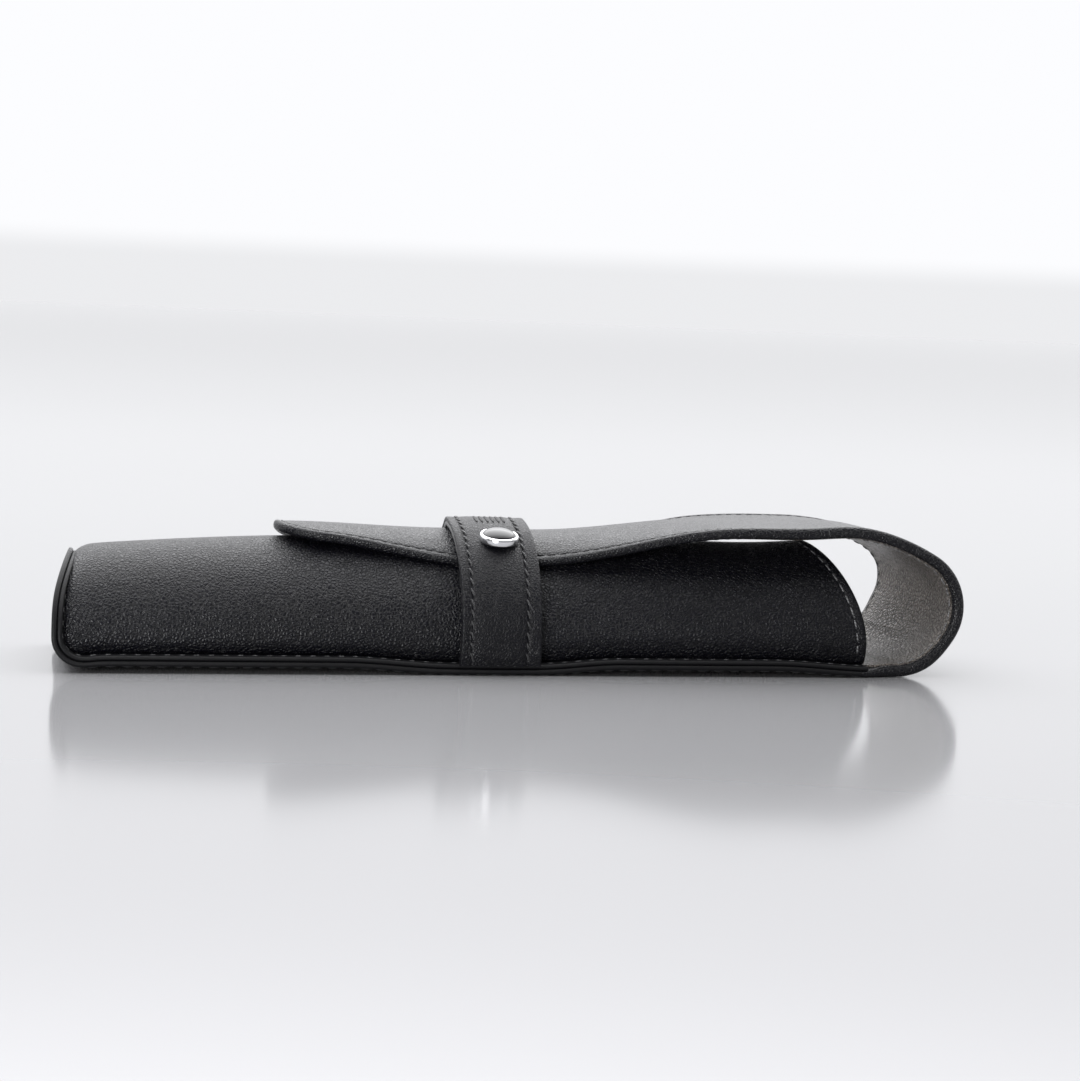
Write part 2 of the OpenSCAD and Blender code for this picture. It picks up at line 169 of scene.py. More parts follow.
def flap_z(x, y):
    if x > TOP[0]:
        return TOP[1] + math.sqrt(TOP[2] ** 2 - (x - TOP[0]) ** 2)
    if x < KEEP0:
        middle = mix(TIP_TOP, WAIST_TOP, rise(x, TIP + 4, KEEP0 - TIP - 6))
        sag = mix(SAG_TIP, SAG, rise(x, TIP, KEEP0 - TIP))
    else:
        middle = mix(WAIST_TOP, FLAT_TOP, rise(x, KEEP1 + 1, 38))
        sag = SAG * (1 - clamp((x - KEEP1) / (134.5 - KEEP1))) ** 2
    return middle - sag * y * y


def flap_normal(x, y):
    h = 0.1
    gx = (flap_z(x + h, y) - flap_z(x - h, y)) / (2 * h)
    gy = (flap_z(x, y + h) - flap_z(x, y - h)) / (2 * h)
    n = np.array([-gx, -gy, 1.0])
    return n / np.linalg.norm(n)


def hide_t(x):
    """Thickness of the turned-edge hide along the flap."""
    return mix(FLAP_T, STRIP_T, rise(x, 112, 30))


# ---------------------------------------------------------------- slow unevenness of the hand-sewn case
# how far the far side of the fold is pulled in, at a few heights
PULL_Z = (0, 3, 7, 11, 14, 18, 22, 26)
PULL = (0, 2.3, 4.0, 3.2, 2.05, 0.85, 0.1, 0)


def settle(p):
    """Where a point of the regular shape lies on the real, slightly uneven case."""
    x, y, z = p
    # the sewn rim lifts off the table between the ends and the keeper
    up = 1.05 * rise(x, -2, 12) * (1 - rise(x, 52, 20))
    up += 0.98 * rise(x, 88, 16) * (1 - rise(x, 134, 20))
    z = z + (up + 0.15) * rise(abs(y), 9, 8) * (1 - rise(z, 2.5, 6))
    # the closed end stands out near its top, and slants towards its far side
    x = x - (1 - rise(x, 1, 8)) * (0.1 + 0.4 * rise(z, 6, 9))
    x = x + 0.105 * (y + RIM) * (1 - rise(x, 1, 11)) * rise(z, 1, 5)
    # the far side of the crown hangs lower, and the keeper and flap run a little askew
    z = z - 1.4 * rise(y, 0.5, 8) * rise(z, 14, 8) * (1 - rise(x, 110, 30))
    x = x + 1.3 * rise(y, -4, 12) * gauss(x - 80, 14) * rise(z, 14, 6)
    if x > 118:                  # the top of the flap waves
        far = rise(y, -2, 14)
        crest = 0.36 * gauss(x - 151, 9) * (1 - far) - 0.52 * gauss(x - 135, 13)
        crest += (0.45 * gauss(x - 164, 5) - 0.35 * gauss(x - 150, 8)) * far
        z = z + crest * rise(z, 16, 8)
    if x > 150:                  # the fold is tighter on its far side, and pressed in low on its near side
        x = x - np.interp(z, PULL_Z, PULL) * rise(y, -6, 22) * rise(x, 153, 10)
        low = 0.55 * rise(-y, 2, 14) * gauss(z - 5.0, 4.0) * rise(x, 158, 6)
        x = x - low - 0.12 * rise(x, 163, 8)
    return (x, y, z)


# ---------------------------------------------------------------- mesh helpers
def to_m(co):
    """Millimetres from the closed end to metres in the frame."""
    out = np.array(co, float).reshape(-1, 3).copy()
    out[:, 0] += X0
    return out * 0.001


def make(name, co, faces, mat, merge=0.0, loose=True):
    """A smooth object. Points closer than merge are joined, and loose leather is settled."""
    if loose:
        co = [settle(p) for p in co]
    me = bpy.data.meshes.new(name)
    me.from_pydata(to_m(co).tolist(), [], [list(map(int, f)) for f in faces])
    bm = bmesh.new()
    bm.from_mesh(me)
    if merge:
        bmesh.ops.remove_doubles(bm, verts=bm.verts, dist=merge * 0.001)
    bmesh.ops.recalc_face_normals(bm, faces=bm.faces)
    for f in bm.faces:
        if len(f.verts) > 6:     # flat ends keep a crisp edge
            for e in f.edges:
                e.smooth = False
    bm.to_mesh(me)
    bm.free()
    me.shade_smooth()
    ob = bpy.data.objects.new(name, me)
    bpy.context.scene.collection.objects.link(ob)
    me.materials.append(mat)
    return ob


def quads(rows, across, closed, base=0):
    """Faces between rings of points that follow one another. A closed ring's last point joins its first."""
    return [(base + j * across + i, base + j * across + (i + 1) % across,
             base + (j + 1) * across + (i + 1) % across, base + (j + 1) * across + i)
            for j in range(rows - 1) for i in range(across if closed else across - 1)]


def caps(rows, across, base=0):
    """The two flat ends of a stack of closed rings."""
    return [tuple(base + i for i in range(across)),
            tuple(base + (rows - 1) * across + i for i in range(across))]


def skin(rings):
    """Points and faces of a closed solid through a list of rings."""
    m, n = len(rings), len(rings[0])
    return np.concatenate([np.array(r, float) for r in rings]), quads(m, n, True) + caps(m, n)


# distances from the edge at which a turned edge is drawn
EDGE_STEPS = (5.0, 3.8, 3.0, 2.5, 2.2, 2.0, 1.8, 1.7, 1.6, 1.5, 1.4, 1.25, 1.1, 0.95, 0.8)


def half_profile(w, t, bead=0.15, groove=0.16, rx=0.68):
    """(distance from the middle, depth) of a strip of half width w and thickness t.

    It runs from the middle of the outer face, round the edge, to the middle of the inner face.
    """
    def lift(e):
        return bead * gauss(e - 0.85, 0.5) - groove * gauss(e - ROW, 0.22) - 0.05 * gauss(e - ROW, 0.8)

    across = [f * (w - 5.4) for f in (0, 0.25, 0.5, 0.75, 1)] + [w - e for e in EDGE_STEPS]
    outer = [(r, -lift(w - r)) for r in across]
    edge = []
    for a in np.radians(np.linspace(-75, 75, 9)):
        c, s = math.cos(a), math.sin(a)
        swell = bead * 0.8 if s < 0 else 0
        edge.append((w - rx + rx * c ** 0.85, t / 2 + (t / 2 + swell) * s))
    inner = [(r, t + 0.5 * lift(w - r) * (0.4 if w - r < 1.2 else 1)) for r in across[::-1]]
    return outer + edge + inner


def lining_half(w, lo, hi):
    """The same for a thin lining between the depths lo and hi, its edge slightly rounded."""
    across = [f * (w - 1.2) for f in (0, 0.2, 0.4, 0.6, 0.8, 1)] + [w - 0.8, w - 0.5, w - 0.3]
    under = [(across[0], lo), (across[3], lo), (across[-1], lo)]
    edge = [(w - 0.05, lo), (w, (lo + hi) / 2), (w - 0.1, hi - 0.04)]
    seen = [(r, hi - 0.07 * gauss(w - r - 0.6, 0.25)) for r in across]
    return under + edge + seen[::-1]


def arc_rows(arc, a0, a1, step=2.0):
    """(x, z, outward x, outward z) along an arc of the fold, every step degrees."""
    n = max(2, int(round(abs(a1 - a0) / step)))
    out = []
    for a in np.radians(np.linspace(a0, a1, n + 1)):
        c, s = math.cos(a), math.sin(a)
        out.append((arc[0] + arc[2] * c, arc[1] + arc[2] * s, c, s))
    return out


def strip(name, rows, half, mat):
    """A strip across the case, with the same half profile at every row."""
    rings = []
    for x, z, nx, nz in rows:
        near = [(x - nx * d, r, z - nz * d) for r, d in half]
        far = [(x - nx * d, -r, z - nz * d) for r, d in half[::-1] if r > 1e-6]
        rings.append(near + far)
    return make(name, *skin(rings), mat)


# A spot of the leather is a function: (distance from the middle, depth) to a point.
def floor_spot(x, side):
    if x <= LOW[0]:
        return lambda r, d: (x, side * r, d)
    a = math.asin(min((x - LOW[0]) / LOW[2], 1))
    nx, nz = math.sin(a), -math.cos(a)
    bx, bz = LOW[0] + LOW[2] * nx, LOW[1] + LOW[2] * nz
    return lambda r, d: (bx - nx * d, side * r, bz - nz * d)


def turn_spot(b, side):
    nx, nz = -math.sin(b), -math.cos(b)
    x, z = TURN + TURN * nx, TURN + TURN * nz
    return lambda r, d: (x - nx * d, side * r, z - nz * d)


def arch_spot(th):
    c, s = math.cos(th), math.sin(th)

    def place(r, d):
        z = RIM_Z + r * s * ARCH
        nx, nz = end_normal(z)
        return (end_x(z) - nx * d, r * c, z - nz * d)
    return place


TURN_END = math.acos((TURN - RIM_Z) / TURN)      # angle of the turn at which the round end starts
ARCH_SPOTS = 65


def u_route(x_from, floor_step=1.6):
    """(x, spot) all the way round the outline: one side, the closed end, and back along the other side."""
    xs = list(np.linspace(x_from, TURN, int((x_from - TURN) / floor_step)))
    turns = np.linspace(0, TURN_END, 9)
    one = [(x, floor_spot(x, 1)) for x in xs]
    one += [(TURN - TURN * math.sin(b), turn_spot(b, 1)) for b in turns[1:]]
    mid = [(0, arch_spot(t)) for t in np.linspace(0, math.pi, ARCH_SPOTS)]
    two = [(TURN - TURN * math.sin(b), turn_spot(b, -1)) for b in turns[:0:-1]]
    two += [(x, floor_spot(x, -1)) for x in xs[::-1]]
    return one + mid + two


def u_sweep(name, route, profile, mat, plate=True):
    """A sheet swept along a route.

    A plate's profile starts and ends on the middle line, which both sides share. Another is a closed loop.
    """
    rings = [[place(r, d) for r, d in profile(x)] for x, place in route]
    m, n = len(rings), len(rings[0])
    co = [p for ring in rings for p in ring]
    if not plate:
        return make(name, co, quads(m, n, True) + caps(m, n), mat)
    end = tuple(range(n)) + tuple((m - 1) * n + i for i in range(n - 2, 0, -1))
    return make(name, co, quads(m, n, False) + [end], mat, merge=0.002)


STITCH_RINGS, STITCH_SIDES = 7, 7                # rings along a stitch and points round it


def stitch_tube(centres, normals, r, base):
    """One thread as a tapered tube through its centres."""
    co = []
    for j, run in enumerate(np.gradient(centres, axis=0)):
        t = run / np.linalg.norm(run)
        a = np.cross(t, normals[j])
        a /= np.linalg.norm(a)
        b = np.cross(a, t)
        taper = r * (1 - 0.3 * abs(2 * j / (STITCH_RINGS - 1) - 1) ** 3)
        for w in 2 * math.pi * np.arange(STITCH_SIDES) / STITCH_SIDES:
            co.append(centres[j] + taper * (math.cos(w) * a + math.sin(w) * b))
    return co, quads(STITCH_RINGS, STITCH_SIDES, True, base) + caps(STITCH_RINGS, STITCH_SIDES, base)


def stitches(name, path, mat, pitch=2.1, fill=0.78, r=0.16, lean=0.0, up=0.10, margin=0.0):
    """Separate stitches along a path of (point, outward normal). Each dips into the leather at both ends.

    fill is a stitch's share of the pitch, up its height, lean its slant, and margin the bare end of the row.
    """
    pts = np.array([p for p, n in path], float)
    nor = np.array([n for p, n in path], float)
    dist = np.concatenate([[0], np.cumsum(np.linalg.norm(np.diff(pts, axis=0), axis=1))])
    total = dist[-1] - 2 * margin
    count = max(1, int(total / pitch))
    pitch = total / count

    def at(s):
        p = np.array([np.interp(s, dist, pts[:, i]) for i in range(3)])
        n = np.array([np.interp(s, dist, nor[:, i]) for i in range(3)])
        return p, n / np.linalg.norm(n)

    co, faces = [], []
    for k in range(count):
        start = margin + (k + (1 - fill) / 2) * pitch
        centres, normals = [], []
        for u in np.linspace(0, 1, STITCH_RINGS):
            s = start + fill * pitch * u
            p, n = at(s)
            run = at(min(s + 0.05, dist[-1]))[0] - at(max(s - 0.05, 0))[0]
            run /= max(np.linalg.norm(run), 1e-9)
            height = up - (r + up + 0.06) * abs(2 * u - 1) ** 4
            centres.append(p + n * height + np.cross(run, n) * lean * (2 * u - 1))
            normals.append(n)
        tube, tube_faces = stitch_tube(np.array(centres), normals, r, len(co))
        co += tube
        faces += tube_faces
    return make(name, [tuple(p) for p in co], faces, mat)


def lathe(name, profile, mat, place, steps=96):
    """A turned piece from (radius, height). place is the matrix that sets it on the case."""
    rings = [[(r * math.cos(a), r * math.sin(a), h) for r, h in profile]
             for a in np.linspace(0, 2 * math.pi, steps, endpoint=False)]
    n = len(profile)
    co = [place @ Vector(p) for ring in rings for p in ring]
    faces = []
    for j in range(steps):
        q = (j + 1) % steps
        for i in range(n - 1):
            faces.append((j * n + i, j * n + i + 1, q * n + i + 1, q * n + i))
    return make(name, [tuple(p) for p in co], faces, mat, merge=0.0005, loose=False)


def put(ob, body, slot_name, *nodes):
    """A piece that rides on one body, and the CAD nodes it stands for."""
    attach(ob, body)
    if nodes:
        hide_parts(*nodes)


# (body, next body, where the bend starts, where it ends) as (x, z)
BENDS = {
    "back": ("case", "fold_low", (154.0, 0), (159.0, 0)),
    "fold_lower": ("fold_low", "fold_mid", (160.6, 0.3), (171.7, 11.4)),
    "fold_upper": ("fold_mid", "fold_top", (171.8, 14.6), (155.0, 27.0)),
    "flap": ("fold_top", "flap", (148.0, 28.0), (100.0, 26.0)),
}


def bend(ob, key, slot_name, *nodes):
    """A piece baked into the frame as it stands, and the CAD nodes it stands for. The bend it is given is
    looked up but not applied.
    """
    a, b, start, end = BENDS[key]
    s, e = to_m([(start[0], 0, start[1]), (end[0], 0, end[1])])
    tuple(s)
    tuple(e)
    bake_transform(ob)
    if nodes:
        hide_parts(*nodes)


# ---------------------------------------------------------------- materials
def new_mat(name):
    m = bpy.data.materials.new(name)
    m.use_nodes = True
    nt = m.node_tree
    nt.nodes.clear()
    out = nt.nodes.new("ShaderNodeOutputMaterial")
    bs = nt.nodes.new("ShaderNodeBsdfPrincipled")
    nt.links.new(bs.outputs[0], out.inputs[0])
    return m, nt, bs


def node(nt, kind, **props):
    n = nt.nodes.new(kind)
    for k, v in props.items():
        setattr(n, k, v)
    return n


def grey_ramp(nt, src, stops):
    r = node(nt, "ShaderNodeValToRGB")
    el = r.color_ramp.elements
    while len(el) < len(stops):
        el.new(0.5)
    for e, (p, c) in zip(el, stops):
        e.position = p
        e.color = (c, c, c, 1)
    nt.links.new(src, r.inputs[0])
    return r.outputs[0]


def calc(nt, op, *values):
    """A maths node. Each value is a number or another node's output."""
    n = node(nt, "ShaderNodeMath", operation=op)
    for i, v in enumerate(values):
        if isinstance(v, (int, float)):
            n.inputs[i].default_value = v
        else:
            nt.links.new(v, n.inputs[i])
    return n.outputs[0]


def noise(nt, where, scale, detail, out="Fac"):
    n = node(nt, "ShaderNodeTexNoise")
    n.inputs["Scale"].default_value = scale
    n.inputs["Detail"].default_value = detail
    n.inputs["Roughness"].default_value = 0.5
    nt.links.new(where, n.inputs["Vector"])
    return n.outputs[out]


def blend_colours(nt, bs, dark, light, amount):
    col = node(nt, "ShaderNodeMixRGB")
    col.inputs[1].default_value = (*dark, 1)
    col.inputs[2].default_value = (*light, 1)
    nt.links.new(amount, col.inputs[0])
    nt.links.new(col.outputs[0], bs.inputs["Base Color"])


def relief(nt, bs, height, strength, distance):
    bump = node(nt, "ShaderNodeBump")
    bump.inputs["Strength"].default_value = strength
    bump.inputs["Distance"].default_value = distance
    nt.links.new(height, bump.inputs["Height"])
    nt.links.new(bump.outputs[0], bs.inputs["Normal"])


def roughness(nt, bs, value, at_0, at_1):
    r = node(nt, "ShaderNodeMapRange")
    r.inputs["To Min"].default_value = at_0
    r.inputs["To Max"].default_value = at_1
    nt.links.new(value, r.inputs["Value"])
    nt.links.new(r.outputs[0], bs.inputs["Roughness"])


def leather(name, base, lift, cell, depth, rough, crease=0.6, spec=0.5):
    """Pebbled calf: rounded grains between creases, pores, and a slow change of colour and gloss. The creases
    are coloured darker than the grain tops, as painted shade.

    cell is the size of a grain and depth the height of the relief, in millimetres.
    """
    m, nt, bs = new_mat(name)
    where = node(nt, "ShaderNodeTexCoord").outputs["Object"]
    add = node(nt, "ShaderNodeMixRGB", blend_type="LINEAR_LIGHT")
    add.inputs[0].default_value = 0.00022         # metres by which the grains are pushed out of shape
    nt.links.new(where, add.inputs[1])
    nt.links.new(noise(nt, where, 1400, 2, "Color"), add.inputs[2])
    cells = node(nt, "ShaderNodeTexVoronoi", feature="DISTANCE_TO_EDGE")
    cells.inputs["Scale"].default_value = 1000 / cell
    nt.links.new(add.outputs[0], cells.inputs["Vector"])
    grains = grey_ramp(nt, cells.outputs["Distance"], [(0.0, 0.0), (0.12, 0.6), (0.4, 1.0)])
    pores = noise(nt, where, 5200, 3)
    patch = noise(nt, where, 420, 3)
    slow = noise(nt, where, 60, 4)
    height = calc(nt, "MULTIPLY_ADD", grains, crease, calc(nt, "MULTIPLY", pores, 0.3))
    height = calc(nt, "MULTIPLY", height, calc(nt, "MULTIPLY_ADD", patch, 0.8, 0.5))
    relief(nt, bs, height, 1.0, depth * 0.001)
    # colour darkest in the creases and lighter on the grain tops: painted shade; the slow noise is the hide's
    # own uneven tone
    crease_shade_and_tone = calc(nt, "MULTIPLY", grains, calc(nt, "MULTIPLY_ADD", slow, 0.9, 0.25))
    blend_colours(nt, bs, base, lift, crease_shade_and_tone)
    gloss = calc(nt, "MULTIPLY_ADD", slow, 0.3, calc(nt, "MULTIPLY", grains, 0.7))
    roughness(nt, bs, gloss, rough[1], rough[0])
    bs.inputs["Specular IOR Level"].default_value = spec
    return m


def thread_mat(name, dark, light, rough):
    """Twisted thread, with slanting plies."""
    m, nt, bs = new_mat(name)
    wave = node(nt, "ShaderNodeTexWave", bands_direction="DIAGONAL")
    wave.inputs["Scale"].default_value = 1100
    wave.inputs["Distortion"].default_value = 1.5
    nt.links.new(node(nt, "ShaderNodeTexCoord").outputs["Object"], wave.inputs["Vector"])
    relief(nt, bs, wave.outputs["Fac"], 0.7, 0.00004)
    blend_colours(nt, bs, dark, light, wave.outputs["Fac"])
    bs.inputs["Roughness"].default_value = rough
    bs.inputs["Sheen Weight"].default_value = 0.15
    return m


def polish(name, color, metallic, lo, hi, scale):
    """A polished surface with faint, uneven wear."""
    m, nt, bs = new_mat(name)
    wear = noise(nt, node(nt, "ShaderNodeTexCoord").outputs["Object"], scale, 3)
    roughness(nt, bs, wear, lo, hi)
    bs.inputs["Base Color"].default_value = (*color, 1)
    bs.inputs["Metallic"].default_value = metallic
    return m


# INK is the hide's black, and also the colour of its creases as painted shade; GRAIN is the colour on the
# grain tops
INK, GRAIN = (0.0006, 0.0006, 0.0012), (0.0045, 0.0045, 0.0075)
HIDE = leather("calf_black", INK, GRAIN, 0.66, 0.25, (0.18, 0.46), spec=0.21)
HIDE_FLAP = leather("calf_black_flap", INK, GRAIN, 0.60, 0.16, (0.18, 0.42), spec=0.26)
HIDE_KEEPER = leather("calf_black_keeper", INK, GRAIN, 0.55, 0.16, (0.24, 0.46), spec=0.2)
# the sewn rim's leather is darker: partly its own edge dressing, partly painted shade under the shell's wall
HIDE_SEWN_SHADED = leather("calf_black_sewn_edge_shaded", INK, (0.003, 0.003, 0.004), 0.4, 0.04, (0.45, 0.6), spec=0.2)
HIDE_EDGE = leather("calf_black_rim", (0.004, 0.004, 0.005), (0.009, 0.009, 0.011), 0.3, 0.03, (0.26, 0.38))
# the lining's dark colour lies in its creases as painted shade; the light one is its own brownish grey
LINING = leather("lining_grained", (0.018, 0.015, 0.013), (0.24, 0.21, 0.185), 0.72, 0.34, (0.26, 0.5),
                 crease=0.9)
THREAD = thread_mat("thread_black", (0.002, 0.002, 0.003), (0.012, 0.012, 0.014), 0.5)
THREAD_GREY = thread_mat("thread_waxed", (0.02, 0.02, 0.022), (0.16, 0.16, 0.165), 0.3)
METAL = polish("stud_steel", (0.88, 0.88, 0.90), 1.0, 0.04, 0.09, 1800)
LACQUER = polish("stud_black", (0.003, 0.003, 0.004), 0.0, 0.03, 0.07, 600)

# ---------------------------------------------------------------- camera, light and floor
CAM_TURN, CAM_ROLL = math.radians(-14.16), math.radians(2.37)
CAM_HIGH, CAM_AWAY = 66.1, 488.0                  # millimetres above the floor, and away from the target
CAM_TARGET = (92.2, 23.2)                         # x and z of the target, on the middle line
CAM_SENSOR, CAM_LENS = 36, 85.6873
FLOOR_Z = -0.00009                                # metres: just under the leather
FLOOR_HALF = 20.0


def build_camera():
    tx, tz = CAM_TARGET
    loc = np.array([tx + CAM_AWAY * math.sin(CAM_TURN), -CAM_AWAY * math.cos(CAM_TURN), CAM_HIGH])
    ahead = np.array([tx, 0, tz]) - loc
    ahead /= np.linalg.norm(ahead)
    right = np.cross(ahead, [0, 0, 1])
    right /= np.linalg.norm(right)
    up = np.cross(right, ahead)
    c, s = math.cos(CAM_ROLL), math.sin(CAM_ROLL)
    columns = (c * right + s * up, -s * right + c * up, -ahead, to_m([loc])[0])
    m = Matrix.Identity(4)
    for i in range(3):
        for j, column in enumerate(columns):
            m[i][j] = column[i]
    data = bpy.data.cameras.new("camera")
    data.sensor_width, data.lens = CAM_SENSOR, CAM_LENS
    data.clip_start, data.clip_end = 0.01, 30
    cam = bpy.data.objects.new("camera", data)
    cam.matrix_world = m
    bpy.context.scene.collection.objects.link(cam)
    bpy.context.scene.camera = cam


def area(name, loc, target, size, size_y, energy):
    lamp = bpy.data.lights.new(name, "AREA")
    lamp.shape = "RECTANGLE"
    lamp.size, lamp.size_y = size, size_y
    lamp.energy = energy
    o = bpy.data.objects.new(name, lamp)
    o.location = loc
    o.rotation_euler = (Vector(target) - Vector(loc)).to_track_quat("-Z", "Y").to_euler()
    o.visible_camera = False
    bpy.context.scene.collection.objects.link(o)


def build_floor():
    me = bpy.data.meshes.new("floor")
    h = FLOOR_HALF
    corners = [(-h, -h, FLOOR_Z), (h, -h, FLOOR_Z), (h, h, FLOOR_Z), (-h, h, FLOOR_Z)]
    me.from_pydata(corners, [], [(0, 1, 2, 3)])
    floor = bpy.data.objects.new("floor", me)
    bpy.context.scene.collection.objects.link(floor)
    m, _, bs = new_mat("floor_pale")
    bs.inputs["Base Color"].default_value = (0.22, 0.22, 0.226, 1)
    bs.inputs["Roughness"].default_value = 0.12
    bs.inputs["Specular IOR Level"].default_value = 0.8
    me.materials.append(m)


def build_sky():
    """A white studio: dim at the front, bright behind and high up, with a soft strip at the front."""
    w = bpy.data.worlds.new("studio")
    bpy.context.scene.world = w
    w.use_nodes = True
    nt = w.node_tree
    xyz = node(nt, "ShaderNodeSeparateXYZ")
    nt.links.new(node(nt, "ShaderNodeTexCoord").outputs["Generated"], xyz.inputs[0])

    def fade(axis, a, b, lo, hi):
        """The strength goes from lo to hi as one axis of the direction goes from a to b."""
        n = node(nt, "ShaderNodeMapRange", interpolation_type="SMOOTHSTEP")
        for key, v in (("From Min", a), ("From Max", b), ("To Min", lo), ("To Max", hi)):
            n.inputs[key].default_value = v
        nt.links.new(xyz.outputs[axis], n.inputs["Value"])
        return n.outputs[0]

    sky = calc(nt, "MULTIPLY", fade("Y", -0.35, 0.30, 0.10, 1.0), fade("Z", 0.016, 0.028, 0.86, 1.0))
    sky = calc(nt, "MULTIPLY", sky, fade("Z", 0.22, 0.42, 1.0, 3.2))
    front = calc(nt, "MULTIPLY", fade("Z", 0.05, 0.12, 0.0, 0.4), fade("Z", 0.34, 0.44, 1.0, 0.0))
    front = calc(nt, "MULTIPLY", front, fade("Y", -0.45, -0.25, 1.0, 0.0))
    background = nt.nodes["Background"]
    nt.links.new(calc(nt, "ADD", sky, front), background.inputs[1])
    background.inputs[0].default_value = (0.975, 0.98, 1.0, 1)


build_camera()
build_floor()
build_sky()
area("top_soft", (0.0, 0.24, 0.62), (0.0, 0.24, 0), 1.4, 1.3, 12.5)
area("left_soft", (-0.34, -0.54, 0.03), (-0.086, 0, 0.01), 0.30, 0.30, 6.0)
bpy.context.scene.view_settings.view_transform = "Standard"

# ---------------------------------------------------------------- back, sewn rim and closed end
SEWN_FROM = 18.0                 # from here outwards the back's edge is darker: its own dressing, and painted shade


def back_profile(x):
    """Flat and thin under the shell, with the strip's turned edge from the fold on."""
    k = rise(x, *TO_STRIP)
    half = mix(RIM, WIDE, rise(x, 151, 7))
    return half_profile(half, back_thickness(x), bead=mix(0.04, 0.15, k), groove=mix(0.10, 0.16, k),
                        rx=mix(0.42, 0.68, k))


def dress_and_shade_edge(back):
    """The sewn edge of the back, along the sides and round the closed end, has a darker material of its own:
    dressing and painted shade.
    """
    back.data.materials.append(HIDE_SEWN_SHADED)
    for face in back.data.polygons:
        x, y, z = [v * 1000 for v in face.center]
        x -= X0
        side = abs(y) > SEWN_FROM
        end = x < 4 and math.hypot(y, (z - RIM_Z) / ARCH) > SEWN_FROM
        if x < 151 and (side or end):
            face.material_index = 1


LOW_END = LOW[0] + LOW[2] * math.sin(math.radians(90 + SEAM_LOW))
back = u_sweep("case_back", u_route(LOW_END), back_profile, HIDE_FLAP)
dress_and_shade_edge(back)
bend(back, "back", "leather", "back_leather", "back_board", "end_board")


def flange_profile(x):
    """The shell's rim, sewn down on the back: a flat band with a groove for the stitches."""
    w = RIM - 0.06
    round_x = 0.42
    top = [(w - e, F1 + 0.12 * gauss(e - ROW, 0.28) - 0.05 * gauss(e - 0.8, 0.4))
           for e in (4.4, 3.6, 3.0, 2.6, 2.2, 1.9, 1.6, 1.3, 1.0, 0.75, 0.5)]
    edge = [(w - round_x + round_x * math.cos(a), (F0 + F1) / 2 - FLANGE_T / 2 * math.sin(a))
            for a in np.radians(np.linspace(-68, 68, 7))]
    low = [(w - e, F0) for e in (0.5, 1.6, 3.0, 4.4)]
    return top + edge + low


# the sewn rim in the darker leather, whose darkness is partly painted shade
put(u_sweep("shell_rim", u_route(RIM_END + 0.6), flange_profile, HIDE_SEWN_SHADED, plate=False), "case", "leather")

# ---------------------------------------------------------------- moulded shell
END_ROUND, END_INSET = 3.2, 1.5  # length and depth of the rounding at the closed end
END_STEPS = (0.0, 0.08, 0.2, 0.4, 0.65, 0.95, 1.3, 1.7, 2.15, 2.65, END_ROUND)
LIP = 4.2                        # length of the dressed lip at the mouth
LIP_ROUND, LIP_INSET = 0.7, 0.72
LIP_STEPS = (LIP, 3.6, 3.1, 2.7, 2.45, 2.25, 2.1, MOUTH_ROW, 1.9, 1.75, 1.55, 1.3, 1.05, 0.8, 0.55, 0.35, 0.2,
             0.08, 0.0)


def bottom_tuck(z, x):
    """How far the wall stands in near the rim, over a height that grows towards the mouth."""
    high = mix(3.4, 6.8, rise(x, 56, 70))
    return 2.3 * quarter((z - Z_LOW) / high)


def shell_ring(x_of, outer, inner, wall_z, arc_n):
    """One closed ring of the shell: the outer D over the crown, then the inner D back. x_of(z) places it."""
    x = x_of(MID_Z)
    za = axis_z(x)
    ring = []
    for r, step in ((outer, 1), (inner, -1)):
        wall = [(r - bottom_tuck(z, x), z) for z in wall_z(za)]
        arc = [(r * math.cos(a), za + r * math.sin(a)) for a in np.linspace(0, math.pi, arc_n)]
        arc = [(y - math.copysign(bottom_tuck(z, x), y), z) for y, z in arc]
        whole = wall + arc + [(-y, z) for y, z in wall[::-1]]
        ring += [(x_of(z), y, z) for y, z in whole[::step]]
    return ring


def shell_start(z):
    return end_x(z) + F1 - 0.45


def hide_ring(x_of, inset, thick):
    return shell_ring(x_of, SHELL_R - inset, SHELL_R - max(inset, 0) - thick,
                      lambda za: [Z_LOW + (za - Z_LOW) * q ** 1.3 for q in np.linspace(0, 1, 9)[:-1]], 61)


def build_shell(spans=70):
    rings = []
    for dx in END_STEPS:
        inset = END_INSET * quarter(dx / END_ROUND)
        rings.append(hide_ring(lambda z: shell_start(z) + dx, inset, SHELL_T))
    for k in range(1, spans):
        rings.append(hide_ring(lambda z: mix(shell_start(z) + END_ROUND, mouth_x(z) - LIP, k / spans),
                               0.0, SHELL_T))
    for e in LIP_STEPS:
        lift = 0.10 * gauss(e - 1.0, 0.55) - 0.15 * gauss(e - MOUTH_ROW, 0.22)
        inset = LIP_INSET * quarter(e / LIP_ROUND)
        rings.append(hide_ring(lambda z: mouth_x(z) - e, inset - lift, SHELL_T - 2 * inset + lift))
    return make("shell_hide", *skin(rings), HIDE)


def build_shell_lining(spans=60):
    outer, inner = SHELL_R - 1.70, SHELL_R - 2.15

    def ring(x_of, r_in):
        return shell_ring(x_of, outer, r_in, lambda za: np.linspace(Z_LOW + 0.4, za, 7)[:-1], 49)

    rings = [ring(lambda z: mix(shell_start(z) + 0.8, mouth_x(z) - 1.6, k / spans), inner)
             for k in range(spans + 1)]
    rings.append(ring(lambda z: mouth_x(z) - 1.45, inner + 0.2))
    return make("shell_lining_calf", *skin(rings), LINING)


put(build_shell(), "case", "leather", "shell_leather", "shell_board")
put(build_shell_lining(), "case", "lining", "shell_lining")

